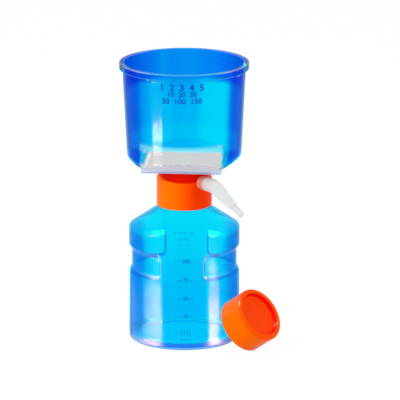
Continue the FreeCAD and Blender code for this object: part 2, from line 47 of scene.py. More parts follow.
# bottle
BOTTLE_RADIUS, BOTTLE_WALL, BOTTLE_FLOOR = 45.0, 1.3, 1.8
PUSH_UP, PUSH_UP_RADIUS, FOOT_RADIUS, PUSH_UP_WALL = 2.6, 36.3, 39.3, 1.8
SHOULDER_HEIGHT, CONE_RADIUS, CONE_HEIGHT, CONE_WALL = 94.4, 22.8, 109.4, 1.6
RING_TOP = 109.9
GRIP_LOW, GRIP_HIGH, GRIP_LEDGE, GRIP_DEPTH = 56.9, 79.3, 3.8, 2.3
GRIP_SWEEP, GRIP_TURN = 135.4, -2.4
GRIP_END, GRIP_END_START, GRIP_ROUND = 1.7, 0.2, 2.2
NECK_RADIUS, NECK_BORE, NECK_TOP = 19.0, 17.0, 127.5

ROUND_STEPS = 6  # straight pieces in every round of a profile

# threads: the male one starts above the ring, the female one starts lower by its gap
THREAD_PITCH, THREAD_DEPTH, THREAD_FOOT, THREAD_CREST = 6.0, 1.4, 2.6, 1.3
THREAD_START, FEMALE_GAP = 5.2, 2.0
MALE_LEAD, MALE_TURNS = 20, 1.5
FEMALE_LEAD, FEMALE_TURNS, FEMALE_BORE = 80, 1.2, 20.8

# collar and its stub
COLLAR_RADIUS, COLLAR_BOTTOM, SKIRT_TOP, COLLAR_TOP = 22.5, 111.2, 135.3, 144.5
BAND_RADIUS, CHAMBER_RADIUS = 21.3, 19.2
SHELF_BORE, SHELF_BOTTOM, SHELF_TOP = 10.0, 129.0, 130.8
STUB_AZIMUTH, STUB_Z, STUB_RADIUS, STUB_BORE = -52.0, 134.0, 4.5, 2.2
STUB_START, STUB_END = 19.0, 30.0

# hose connector, along its own line from the collar's axis outwards
BARREL_START, BARREL_END, BARREL_RADIUS, SOCKET_RADIUS = 23.0, 36.0, 5.7, 4.55
SOCKET_ROOM = 0.6  # air between the stub's end and the socket's
BEND_RADIUS, BEND_TURN, CONNECTOR_ROLL = 8.0, 45.0, 25.0
ARM_LENGTH, ARM_RADIUS = 19.6, 3.5
TIP_LENGTH, TIP_RADIUS, TIP_END_RADIUS, AIRWAY_RADIUS = 10.5, 2.65, 2.3, 1.8

# tray and funnel
TRAY_TURN, TRAY_HALF, TRAY_TOP = -4.5, 32.15, 148.3
FOOT_GAP = 0.05  # air between the funnel's foot and the tray, so that their faces don't coincide
OPENING_HALF, FACET_WALL, FACET_SLOPE = 30.45, 1.7, math.tan(math.radians(23))
MOUTH_BOTTOM = TRAY_TOP + FACET_WALL - (TRAY_HALF - OPENING_HALF) * FACET_SLOPE
WALL_LOW_RADIUS, WALL_TOP_RADIUS, FUNNEL_WALL, WALL_LOW = 46.4, 49.9, 1.5, 154.3
RIM_TOP, RIM_HEIGHT, RIM_PROUD, RIM_ROUND = 230.0, 5.2, 2.6, 0.7
LUG_AZIMUTHS = [-123.0, -33.0, 57.0, 147.0]
LUG_HALF, LUG_PROUD, LUG_DROP = 1.5, 0.5, 1.0

# cap, upright in its own frame and then leaned on the bottle
CAP_HEIGHT, CAP_CEILING, CAP_AZIMUTH, CAP_TILT = 22.5, 17.1, -36.4, 34.8
DISH_RADIUS, DISH_FLOOR = 18.7, 18.9
PLUG_OUTSIDE, PLUG_INSIDE, PLUG_BOTTOM = 16.5, 15.4, 14.6
CAP_GAP = 0.05  # air between the cap's edge and the bottle
CAP_REACH = BOTTLE_RADIUS + CAP_GAP + COLLAR_RADIUS * math.sin(math.radians(CAP_TILT))
CAP_LIFT = COLLAR_RADIUS * math.cos(math.radians(CAP_TILT))


# ---------------------------------------------------------------- meshes


def arc_corner(before, corner, after, radius):
    """Points of the round between two straight runs: a circle that touches both runs."""
    if radius <= 0:
        return [corner]
    into = (corner - before) / np.linalg.norm(corner - before)
    out = (after - corner) / np.linalg.norm(after - corner)
    turn = math.acos(float(np.clip(into @ out, -1, 1)))
    if turn < 1e-4:
        return [corner]
    back = radius * math.tan(turn / 2)
    side = np.array([-into[1], into[0]]) * (1 if into[0] * out[1] - into[1] * out[0] > 0 else -1)
    centre = corner - into * back + side * radius
    angles = np.linspace(0, turn, ROUND_STEPS + 1)[:, None]
    return list(centre - side * radius * np.cos(angles) + into * radius * np.sin(angles))


def profile(corners, spacing, closed=False):
    """Outline through corners (across, along, rounding), with runs cut into pieces of about
    the spacing, so that smooth shading stays even beside a round."""
    points = [np.array(corner[:2], float) for corner in corners]
    count = len(points)
    line = []
    for index, corner in enumerate(corners):
        rounding = corner[2] if len(corner) > 2 else 0
        if not closed and index in (0, count - 1):
            rounding = 0
        line += arc_corner(points[index - 1], points[index], points[(index + 1) % count], rounding)
    if closed:
        line.append(line[0])
    dense = [line[0]]
    for start, end in zip(line, line[1:]):
        pieces = max(1, int(round(np.linalg.norm(end - start) / spacing)))
        dense += [start + (end - start) * (step + 1) / pieces for step in range(pieces)]
    return np.array(dense[:-1] if closed else dense)


def grid_mesh(name, points, poles=False, sharp=35.0):
    """Closed surface over a grid of points in millimetres: rows follow the profile and columns
    run round it. With poles the first and last row are each one point, and otherwise the last
    row joins the first. Faces point outwards where rows climb while columns turn left."""
    rows, columns = points.shape[:2]
    if poles:
        inner = points[1:-1].reshape(-1, 3)
        vertices = np.vstack([points[0].mean(0), inner, points[-1].mean(0)])
        index = np.arange((rows - 2) * columns).reshape(rows - 2, columns) + 1
        low, high = index[:-1], index[1:]
    else:
        vertices = points.reshape(-1, 3)
        index = np.arange(rows * columns).reshape(rows, columns)
        low, high = index, np.roll(index, -1, axis=0)
    quads = np.stack([low, np.roll(low, -1, axis=1), np.roll(high, -1, axis=1), high], axis=-1)
    faces = quads.reshape(-1, 4).tolist()
    if poles:
        first, last = index[0], index[-1]
        start = np.stack([np.zeros_like(first), np.roll(first, -1), first], axis=-1)
        end = np.stack([last, np.roll(last, -1), np.full_like(last, len(vertices) - 1)], axis=-1)
        faces += start.tolist() + end.tolist()
    return finished_mesh(name, vertices, faces, sharp)


def finished_mesh(name, vertices, faces, sharp):
    """Object at the origin from points in millimetres, smooth except over the sharp angle."""
    mesh = bpy.data.meshes.new(name)
    mesh.from_pydata((np.asarray(vertices) / 1000).tolist(), [], faces)
    mesh.polygons.foreach_set("use_smooth", np.ones(len(mesh.polygons), bool))
    mesh.set_sharp_from_angle(angle=math.radians(sharp))
    mesh.update()
    made = bpy.data.objects.new(name, mesh)
    bpy.context.scene.collection.objects.link(made)
    return made


def smooth_step(value, low, high):
    """0 below low, 1 above high and an S-curve between them."""
    t = np.clip((value - low) / (high - low), 0, 1)
    return t * t * (3 - 2 * t)


def around(count, dense_spots=(), extra=0, width=0):
    """Azimuths of the columns: evenly spaced, with extra ones up to a width on both sides of
    each of the given azimuths."""
    base = np.arange(count) * 360.0 / count
    more = [spot + np.linspace(-width, width, extra) for spot in dense_spots]
    turned = np.unique(np.round(np.concatenate([base] + more) % 360, 4))
    gaps = np.diff(np.append(turned, turned[0] + 360))
    return np.radians(turned[gaps > 0.05])


def degrees_off(angles, azimuth):
    """How many degrees, 0 to 180, azimuths lie from a given one."""
    return np.abs((np.degrees(angles) - azimuth + 180) % 360 - 180)


def rotated(first, second, degrees):
    """A pair of coordinates turned about the origin, from the first towards the second."""
    turn = math.radians(degrees)
    return (first * math.cos(turn) - second * math.sin(turn),
            first * math.sin(turn) + second * math.cos(turn))


def round_points(radius, angles, height):
    """Points at radii, azimuths and heights: radius times cosine, radius times sine, height."""
    across, away = radius * np.cos(angles), radius * np.sin(angles)
    return np.stack(np.broadcast_arrays(across, away, height), axis=-1)


def spin(line, angles, added=0):
    """Surface of revolution: each (radius, height) of the line is taken round the Z axis, with
    an amount for each row and column added to the radius."""
    return round_points(line[:, 0][:, None] + added, angles, line[:, 1][:, None])


def thread_ridge(height, angles, start, lead, turns):
    """Height of a helical ridge with a trapezium section, at heights (rows) and angles
    (columns), running out over a tenth of a turn at both ends."""
    total = 0
    for winding in range(int(turns) + 2):
        along = (np.degrees(angles)[None, :] - lead) % 360 / 360 + winding
        middle = start + THREAD_PITCH * along
        side = THREAD_FOOT / 2 - np.abs(height[:, None] - middle)
        ridge = np.clip(side / ((THREAD_FOOT - THREAD_CREST) / 2), 0, 1)
        fade = smooth_step(along, 0, 0.1) * smooth_step(-along, -turns, 0.1 - turns)
        total = np.maximum(total, ridge * fade)
    return total * THREAD_DEPTH


def grip_depth(height, angles):
    """How deep the two grips are at heights (rows) and azimuths (columns): the distance inside
    a round-cornered panel, counted in widths of its ledges, makes a step with soft edges."""
    ledge = np.minimum(height - GRIP_LOW, GRIP_HIGH - height)[:, None] / GRIP_LEDGE
    off_axis = np.abs((np.degrees(angles) - GRIP_TURN + 90) % 180 - 90)
    reach = (GRIP_SWEEP / 2 - off_axis)[None, :] * math.radians(BOTTLE_RADIUS)
    reach = (reach + GRIP_END_START) / GRIP_END
    inside = GRIP_ROUND - np.hypot(np.clip(GRIP_ROUND - ledge, 0, None),
                                   np.clip(GRIP_ROUND - reach, 0, None))
    inside = np.clip(inside, 0, 1)
    return GRIP_DEPTH * (0.5 * inside + 0.5 * smooth_step(inside, 0, 1))


def make_bottle():
    """Bottle: the outer profile climbs from the middle of the base to the mouth, the inner one
    goes back down to the middle of the floor. Grips and thread are added to the radius."""
    slope = (CONE_HEIGHT - SHOULDER_HEIGHT) / (BOTTLE_RADIUS - CONE_RADIUS)
    inner = BOTTLE_RADIUS - BOTTLE_WALL
    lift = SHOULDER_HEIGHT + BOTTLE_WALL * slope - CONE_WALL
    outside = profile([
        (0, PUSH_UP), (PUSH_UP_RADIUS, PUSH_UP, 1.5), (FOOT_RADIUS, 0, 1.2),
        (BOTTLE_RADIUS, 0, 3.0), (BOTTLE_RADIUS, SHOULDER_HEIGHT, 3.5),
        (CONE_RADIUS, CONE_HEIGHT, 0.2), (CONE_RADIUS, RING_TOP, 0.2),
        (NECK_RADIUS, RING_TOP, 0.3), (NECK_RADIUS, NECK_TOP, 0.4), (NECK_BORE, NECK_TOP)], 1.1)
    floor = PUSH_UP + PUSH_UP_WALL
    inside = profile([
        (NECK_BORE, NECK_TOP), (NECK_BORE, RING_TOP, 1.5),
        (CONE_RADIUS, CONE_HEIGHT - CONE_WALL, 2.0), (inner, lift, 2.4),
        (inner, BOTTLE_FLOOR, 1.7), (FOOT_RADIUS + 0.5, BOTTLE_FLOOR, 1.0),
        (PUSH_UP_RADIUS + 0.5, floor, 1.2), (0, floor)], 1.4)[1:]
    half = GRIP_SWEEP / 2
    ends = [GRIP_TURN + side * half + turn for side in (-1, 1) for turn in (0, 180)]
    angles = around(216, ends, 12, 2.6)
    line = np.vstack([outside, inside])
    wide = line[:, 0] > 40
    grips = np.where(wide[:, None], grip_depth(line[:, 1], angles), 0)
    neck = np.zeros(len(line), bool)
    neck[:len(outside)] = (outside[:, 1] > RING_TOP + 0.5) & (outside[:, 0] > 18)
    ridge = thread_ridge(line[:, 1], angles, RING_TOP + THREAD_START, MALE_LEAD, MALE_TURNS)
    thread = np.where(neck[:, None], ridge, 0)
    return grid_mesh("bottle_shell", spin(line, angles, thread - grips), poles=True)


def square_reach(angles):
    """Half-width of a unit square over its reach in a direction: the larger of |cos| and |sin|."""
    turned = angles - math.radians(TRAY_TURN)
    return np.maximum(np.abs(np.cos(turned)), np.abs(np.sin(turned)))


def wall_radius(height):
    """Outside of the funnel's wall: upright up to the wall's lower end, then slightly wider."""
    share = np.clip((height - WALL_LOW) / (RIM_TOP - RIM_HEIGHT - WALL_LOW), 0, 1)
    return WALL_LOW_RADIUS + (WALL_TOP_RADIUS - WALL_LOW_RADIUS) * share


def bottle_radius(height):
    """Outside of the bottle's wall, the same at every height."""
    return BOTTLE_RADIUS + 0 * height


def facet_rows(half, low, thickness, angles, shares):
    """Rows over the four floor facets: from the square opening out to the round wall, each
    point on the plane that climbs at the facets' slope from its own side of the square."""
    reach = square_reach(angles)
    edge = half / reach
    outer = WALL_LOW_RADIUS - thickness
    radius = edge + (outer - edge) * np.asarray(shares)[:, None]
    height = low + (radius * reach - half) * FACET_SLOPE
    return round_points(radius, angles, height)


def wall_rows(base, top, thickness, angles, shares):
    """Rows up the round wall, from the last facet row to an even height."""
    height = base[:, 2] + (top - base[:, 2]) * np.asarray(shares)[:, None]
    radius = wall_radius(height) - thickness
    return round_points(radius, angles, height)


def make_funnel():
    """Funnel: one closed ring of rows, up the outside over facets, wall and rim band, then down
    the inside. Lugs push the band's rows out and its lower edge down."""
    corners = [TRAY_TURN + 45 + 90 * side for side in range(4)]
    angles = around(240, LUG_AZIMUTHS, 16, 2.4)
    nearest = [np.argmin(degrees_off(angles, corner)) for corner in corners]
    angles[nearest] = np.radians(np.array(corners) % 360)
    off = np.min([degrees_off(angles, azimuth) for azimuth in LUG_AZIMUTHS], axis=0)
    off = off * math.radians(WALL_TOP_RADIUS + RIM_PROUD)
    lug = smooth_step(-off, -LUG_HALF, 0.5 - LUG_HALF)
    under_band = RIM_TOP - RIM_HEIGHT
    facet_shares, wall_shares = np.linspace(0, 1, 9), np.linspace(0, 1, 50)[1:]
    outside = facet_rows(TRAY_HALF, TRAY_TOP, 0, angles, facet_shares)
    wall = wall_rows(outside[-1], under_band - 1.2, 0, angles, wall_shares)
    band_line = profile([
        (WALL_TOP_RADIUS, under_band - 1.0), (WALL_TOP_RADIUS, under_band, 0.5),
        (WALL_TOP_RADIUS + RIM_PROUD, under_band, RIM_ROUND),
        (WALL_TOP_RADIUS + RIM_PROUD, RIM_TOP, RIM_ROUND),
        (WALL_TOP_RADIUS - FUNNEL_WALL, RIM_TOP, 0.4),
        (WALL_TOP_RADIUS - FUNNEL_WALL, RIM_TOP - 2)], 0.5)
    proud = band_line[:, 0] > WALL_TOP_RADIUS + RIM_PROUD / 2
    proud &= band_line[:, 1] < RIM_TOP - RIM_ROUND
    low = smooth_step(-band_line[:, 1], -under_band - 1.2, -under_band)
    band = spin(band_line, angles, proud[:, None] * lug * LUG_PROUD)
    band[..., 2] -= (proud * low)[:, None] * lug * LUG_DROP
    inner_facets = facet_rows(OPENING_HALF, MOUTH_BOTTOM, FUNNEL_WALL, angles,
                              facet_shares[::-1])
    inner_wall = wall_rows(inner_facets[0], RIM_TOP - 3, FUNNEL_WALL, angles, wall_shares[::-1])
    foot = facet_rows(OPENING_HALF, TRAY_TOP, FUNNEL_WALL, angles, [0])
    points = np.concatenate([outside, wall, band, inner_wall, inner_facets, foot])
    points[..., 2] = np.maximum(points[..., 2], TRAY_TOP + FOOT_GAP)
    return grid_mesh("funnel_shell", points, sharp=20.0)


def make_collar():
    """Collar: skirt, standing-back band, chamber and shelf turned about the axis, with the
    female thread pushed in from its bore."""
    line = profile([
        (FEMALE_BORE, COLLAR_BOTTOM, 0.3), (COLLAR_RADIUS, COLLAR_BOTTOM, 0.9),
        (COLLAR_RADIUS, SKIRT_TOP, 0.9), (BAND_RADIUS, SKIRT_TOP, 0.3),
        (BAND_RADIUS, COLLAR_TOP, 0.3), (CHAMBER_RADIUS, COLLAR_TOP, 0.2),
        (CHAMBER_RADIUS, SHELF_TOP, 0.4), (SHELF_BORE, SHELF_TOP, 0.3),
        (SHELF_BORE, SHELF_BOTTOM, 0.3), (FEMALE_BORE, SHELF_BOTTOM, 0.4)], 0.7, closed=True)
    angles = around(200)
    bore = (line[:, 0] > 20.5) & (line[:, 0] < 21.0) & (line[:, 1] < SHELF_BOTTOM - 0.5)
    start = RING_TOP + THREAD_START - FEMALE_GAP
    ridge = thread_ridge(line[:, 1], angles, start, FEMALE_LEAD, FEMALE_TURNS)
    return grid_mesh("collar_skirt", spin(line, angles, -np.where(bore[:, None], ridge, 0)))


def stub_place(points):
    """Move points from the stub's frame, X outwards along the stub, to the model's."""
    x, y = rotated(points[..., 0], points[..., 1], STUB_AZIMUTH)
    return np.stack([x, y, points[..., 2] + STUB_Z], axis=-1)


def make_stub():
    """Vacuum stub: a short tube out of the collar's side, carried on the connector's axis."""
    line = profile([
        (STUB_BORE, STUB_START), (STUB_RADIUS, STUB_START), (STUB_RADIUS, STUB_END, 0.4),
        (STUB_BORE, STUB_END, 0.3)], 0.8, closed=True)
    tube = spin(line, around(64))
    return grid_mesh("collar_stub", stub_place(tube[..., [2, 0, 1]]))


def make_connector():
    """Hose connector: a round section carried along a straight, a bend and a tapering arm,
    outwards over the outside and back along socket and airway."""
    angle = math.radians(BEND_TURN)
    bend_end = BARREL_END + BEND_RADIUS * angle
    arm_end = bend_end + ARM_LENGTH
    tip_end = arm_end + TIP_LENGTH
    socket_end = STUB_END + SOCKET_ROOM
    line = profile([
        (SOCKET_RADIUS, BARREL_START, 0.3), (BARREL_RADIUS, BARREL_START, 0.5),
        (BARREL_RADIUS, bend_end, 6.0), (ARM_RADIUS, arm_end, 0.5), (TIP_RADIUS, arm_end, 0.3),
        (TIP_RADIUS, tip_end - 0.7), (TIP_END_RADIUS, tip_end, 0.1), (AIRWAY_RADIUS, tip_end, 0.1),
        (AIRWAY_RADIUS, socket_end), (SOCKET_RADIUS, socket_end)], 0.7, closed=True)
    along = line[:, 1]
    bent = np.clip((along - BARREL_END) / BEND_RADIUS, 0, angle)
    past = np.clip(along - bend_end, 0, None)
    centre = np.stack([np.minimum(along, BARREL_END) + BEND_RADIUS * np.sin(bent)
                       + past * math.cos(angle), 0 * along,
                       -BEND_RADIUS * (1 - np.cos(bent)) - past * math.sin(angle)], axis=-1)
    up = np.stack([np.sin(bent), 0 * bent, np.cos(bent)], axis=-1)
    angles = around(72)[None, :, None]
    side = np.array([0, 1.0, 0])
    points = centre[:, None] + line[:, 0][:, None, None] * (
        np.cos(angles) * side + np.sin(angles) * up[:, None])
    y, z = rotated(points[..., 1], points[..., 2], CONNECTOR_ROLL)
    return grid_mesh("connector_tube", stub_place(np.stack([points[..., 0], y, z], axis=-1)))


def make_cap():
    """Cap: dished top and threaded skirt turned about its own axis, then leaned on the bottle."""
    line = profile([
        (0, DISH_FLOOR), (DISH_RADIUS, DISH_FLOOR, 1.0), (DISH_RADIUS, CAP_HEIGHT, 0.5),
        (COLLAR_RADIUS, CAP_HEIGHT, 1.6), (COLLAR_RADIUS, 0, 0.4), (FEMALE_BORE, 0, 0.4),
        (FEMALE_BORE, CAP_CEILING, 0.5), (PLUG_OUTSIDE, CAP_CEILING, 0.3),
        (PLUG_OUTSIDE, PLUG_BOTTOM, 0.3), (PLUG_INSIDE, PLUG_BOTTOM, 0.3),
        (PLUG_INSIDE, CAP_CEILING, 0.3), (0, CAP_CEILING)], 0.7)[::-1]
    angles = around(200)
    bore = (np.abs(line[:, 0] - FEMALE_BORE) < 0.1) & (line[:, 1] < 16.5) & (line[:, 1] > 0.5)
    start = CAP_CEILING - (NECK_TOP - RING_TOP) + THREAD_START - FEMALE_GAP
    ridge = thread_ridge(line[:, 1], angles, start, FEMALE_LEAD, FEMALE_TURNS)
    points = spin(line, angles, -np.where(bore[:, None], ridge, 0))
    z, x = rotated(points[..., 2], points[..., 0], 90 - CAP_TILT)
    x, y = rotated(x + CAP_REACH, points[..., 1], CAP_AZIMUTH)
    return grid_mesh("cap_body", np.stack([x, y, z + CAP_LIFT], axis=-1), poles=True)


def make_print(name, rows, radius_at, towards):
    """Thin raised print on a round wall. Each row is (text, height, letter size): its
    letters are cut to a mesh, and the run along the row turns into an angle from the
    direction it faces, the letters' height into Z and their thickness into radius."""
    points, faces = [], []
    for text, height, size in rows:
        curve = bpy.data.curves.new(name, "FONT")
        curve.body, curve.size, curve.align_x, curve.align_y = text, size, "CENTER", "CENTER"
        curve.extrude, curve.offset, curve.resolution_u = 0.06, size * 0.018, 3
        holder = bpy.data.objects.new(name + "_text", curve)
        bpy.context.scene.collection.objects.link(holder)
        bpy.context.view_layer.update()
        flat = bpy.data.meshes.new_from_object(holder.evaluated_get(
            bpy.context.evaluated_depsgraph_get()))
        bpy.data.objects.remove(holder)
        spots = np.empty(len(flat.vertices) * 3)
        flat.vertices.foreach_get("co", spots)
        along, up, out = spots.reshape(-1, 3).T
        level = height + up
        radius = radius_at(level) + 0.09 + out
        turn = math.radians(towards) + along / radius_at(height)
        corners = np.empty(len(flat.loops), np.int32)
        flat.loops.foreach_get("vertex_index", corners)
        starts = np.empty(len(flat.polygons), np.int32)
        flat.polygons.foreach_get("loop_start", starts)
        corners += sum(len(part) for part in points)
        faces += [face.tolist() for face in np.split(corners, starts[1:])]
        points.append(round_points(radius, turn, level))
        bpy.data.meshes.remove(flat)
    return finished_mesh(name, np.vstack(points), faces, 30)


# ---------------------------------------------------------------- materials


class Value:
    """One socket of a material, so that sums over the surface read as plain expressions."""

    def __init__(self, graph, socket):
        self.graph, self.socket = graph, socket

    def __add__(self, other):
        return self.graph.maths("ADD", self, other)

    def __sub__(self, other):
        return self.graph.maths("SUBTRACT", self, other)

    def __rsub__(self, other):
        return self.graph.maths("SUBTRACT", other, self)

    def __mul__(self, other):
        return self.graph.maths("MULTIPLY", self, other)

    def __truediv__(self, other):
        return self.graph.maths("DIVIDE", self, other)

    def __abs__(self):
        return self.graph.maths("ABSOLUTE", self)

    __radd__ = __add__
    __rmul__ = __mul__


class Graph:
    """Node tree of one material or of the world."""

    def __init__(self, owner):
        owner.use_nodes = True
        self.tree = owner.node_tree
        self.tree.nodes.clear()

    def node(self, kind, settings=None, inputs=None, output=0):
        """Add a node of a type: first its settings, then the values or links of its sockets."""
        made = self.tree.nodes.new(kind)
        for name, setting in (settings or {}).items():
            setattr(made, name, setting)
        for name, given in (inputs or {}).items():
            socket = made.inputs[name]
            if isinstance(given, Value):
                self.tree.links.new(given.socket, socket)
            else:
                socket.default_value = given
        return Value(self, made.outputs[output]) if made.outputs else made

    def maths(self, operation, *values):
        """Math node on values and numbers."""
        return self.node("ShaderNodeMath", {"operation": operation}, dict(enumerate(values)))

    def length(self, first, second):
        """Distance of a point with two coordinates from the origin."""
        return self.maths("SQRT", first * first + second * second)

    def smooth(self, value, low, high):
        """0 at low, 1 at high and an S-curve between them."""
        return self.node("ShaderNodeMapRange", {"interpolation_type": "SMOOTHSTEP"},
                         {"Value": value, "From Min": low, "From Max": high})

    def band(self, value, low, high, soft):
        """1 between low and high, fading to 0 over the soft width outside them."""
        return self.smooth(value, low - soft, low) * self.smooth(value, high + soft, high)

    def mix(self, factor, first, second):
        """Colour between two colours."""
        return self.node("ShaderNodeMix", {"data_type": "RGBA"},
                         {0: factor, 6: first, 7: second}, output=2)

    def ramp(self, value, tone, stops):
        """Colour along a value, through stops (value, red, green, blue) read by a tone: either
        linear or wall_tint."""
        low, high = stops[0][0], stops[-1][0]
        share = self.node("ShaderNodeMapRange", inputs={"Value": value, "From Min": low,
                                                        "From Max": high})
        made = self.node("ShaderNodeValToRGB", inputs={"Fac": share})
        elements = made.socket.node.color_ramp.elements
        for spot, *_ in stops[1:-1]:
            elements.new((spot - low) / (high - low))
        for element, (spot, *colour) in zip(elements, stops):
            element.position = (spot - low) / (high - low)
            element.color = tone(*colour)
        return made

    def place(self):
        """Object coordinates in millimetres."""
        coordinates = self.node("ShaderNodeTexCoord", output=3)
        parts = self.node("ShaderNodeSeparateXYZ", inputs={0: coordinates})
        sockets = parts.socket.node.outputs
        return [Value(self, sockets[axis]) * 1000 for axis in range(3)]

    def noise(self, scale):
        """Soft noise in object coordinates, about 0.5 on average; scale counts per metre."""
        coordinates = self.node("ShaderNodeTexCoord", output=3)
        return self.node("ShaderNodeTexNoise", inputs={"Vector": coordinates, "Scale": scale})

    def facing(self, low, high):
        """0 where glass is looked through squarely, 1 where it is looked along."""
        grazing = self.node("ShaderNodeLayerWeight", inputs={"Blend": 0.5}, output=1)
        return self.smooth(grazing, low, high)

    def light_path(self, *names):
        """1 for rays of any of the named kinds, 0 for others."""
        outputs = self.node("ShaderNodeLightPath").socket.node.outputs
        kinds = [Value(self, outputs[name]) for name in names]
        return self.maths("MINIMUM", sum(kinds[1:], kinds[0]), 1.0)

    def seen(self):
        """1 where something shows, directly, mirrored or through clear plastic, and 0 where it
        only lights."""
        return self.light_path("Is Camera Ray", "Is Glossy Ray", "Is Transmission Ray")

    def plastic(self, colour, roughness, **more):
        """Surface of a colour and roughness; more names its other sockets, with _ for spaces."""
        others = {name.replace("_", " "): given for name, given in more.items()}
        return self.node("ShaderNodeBsdfPrincipled", inputs={
            "Base Color": colour, "Roughness": roughness, **others})

    def blend(self, factor, first, second):
        """Surface between two surfaces."""
        return self.node("ShaderNodeMixShader", inputs={0: factor, 1: first, 2: second})

    def finish(self, surface, output="ShaderNodeOutputMaterial"):
        """Lead a shader to the output."""
        self.node(output, inputs={"Surface": surface})


def linear(red, green, blue):
    """Colour from display values 0 to 255, as the renderer's linear values."""
    shares = [channel / 255 for channel in (red, green, blue)]
    values = [s / 12.92 if s <= 0.04045 else ((s + 0.055) / 1.055) ** 2.4 for s in shares]
    return (*values, 1.0)


def wall_tint(red, green, blue):
    """Tint of one wall, so that two walls one behind the other show the given colour."""
    return (*[channel ** 0.5 for channel in linear(red, green, blue)[:3]], 1.0)


def material(name):
    """New material and its empty node tree."""
    made = bpy.data.materials.new(name)
    return made, Graph(made)


def clear_surface(graph, tint, ior, specular, painted_highlight, highlight_colour):
    """Clear plastic: tinted where light passes, glossy, and letting lamps through. Where the
    painted highlight mask is above 0 it turns to a painted highlight, a bright, soft colour."""
    glass = graph.plastic(tint, 0.07, Transmission_Weight=1.0, IOR=ior, Specular_Tint=specular)
    # painted highlight: a rough surface of the highlight's colour, mixed in by the mask
    haze_and_highlight = graph.plastic(highlight_colour, 0.35, Specular_IOR_Level=0.3)
    passing = graph.node("ShaderNodeBsdfTransparent", inputs={"Color": (0.97, 0.985, 1.0, 1.0)})
    hidden = graph.light_path("Is Shadow Ray", "Is Diffuse Ray")
    return graph.blend(hidden, graph.blend(painted_highlight, glass, haze_and_highlight), passing)


def orange_surface(graph, colour):
    """Orange plastic, whose highlights are tinted like the plastic itself."""
    return graph.plastic(colour, 0.22, IOR=1.12, Specular_Tint=(1.0, 0.5, 0.2, 1.0))


